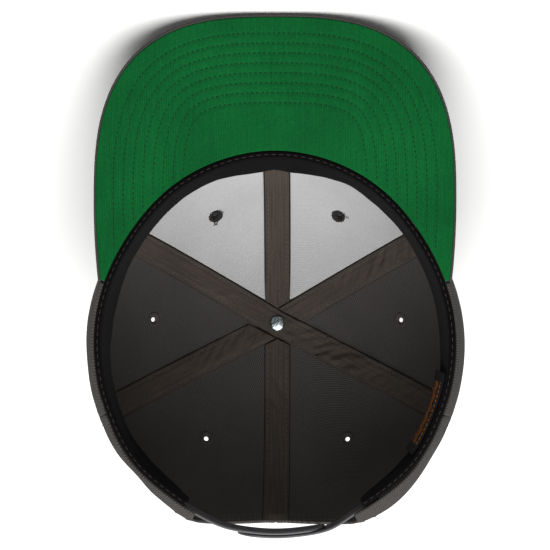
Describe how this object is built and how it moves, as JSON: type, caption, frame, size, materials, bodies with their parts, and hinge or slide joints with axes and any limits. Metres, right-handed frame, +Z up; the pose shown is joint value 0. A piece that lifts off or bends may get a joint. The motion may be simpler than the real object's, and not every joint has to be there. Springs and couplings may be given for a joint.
{
  "type": "snapback cap",
  "caption": "Flat-visor snapback cap lying crown down: panelled crown, green under-visor, sweatband, seam tapes and a plastic snap strap across an arched rear opening.",
  "frame": {"origin": "under the middle of the cap's bounding box, on the surface it lies on", "axes": "+Z up, -Y towards the visor, +X towards the wearer's right; the cap lies crown down, leaning forward on the front of its crown and the tip of its visor"},
  "size_m": [0.202, 0.2392, 0.1881],
  "materials": {
    "crown_cloth": "matte",
    "lining_cloth": "matte",
    "tape_cloth": "matte",
    "eyelet_thread": "matte",
    "visor_board": "matte",
    "visor_under_cloth": "matte",
    "sweatband_cloth": "matte",
    "label_cloth": "matte",
    "strap_plastic": "satin",
    "rivet_metal": "satin"
  },
  "bodies": {
    "root": {"crown_front_left": "crown_cloth", "crown_front_right": "crown_cloth", "crown_side_left": "crown_cloth", "crown_side_right": "crown_cloth", "crown_rear_left": "crown_cloth", "crown_rear_right": "crown_cloth", "lining_front_left": "lining_cloth", "lining_front_right": "lining_cloth", "tape_crossing": "tape_cloth", "tape_front_left": "tape_cloth", "tape_rear_right": "tape_cloth", "tape_front_middle": "tape_cloth", "tape_rear_middle": "tape_cloth", "eyelet_front_left": "eyelet_thread", "eyelet_front_right": "eyelet_thread", "eyelet_side_left": "eyelet_thread", "eyelet_side_right": "eyelet_thread", "eyelet_rear_left": "eyelet_thread", "eyelet_rear_right": "eyelet_thread", "top_button": "crown_cloth", "button_rivet": "rivet_metal", "visor_top": "visor_board", "visor_under": "visor_under_cloth", "sweatband": "sweatband_cloth", "label": "label_cloth", "strap_pegs": "strap_plastic", "strap_holes": "strap_plastic"}
  },
  "joints": []
}
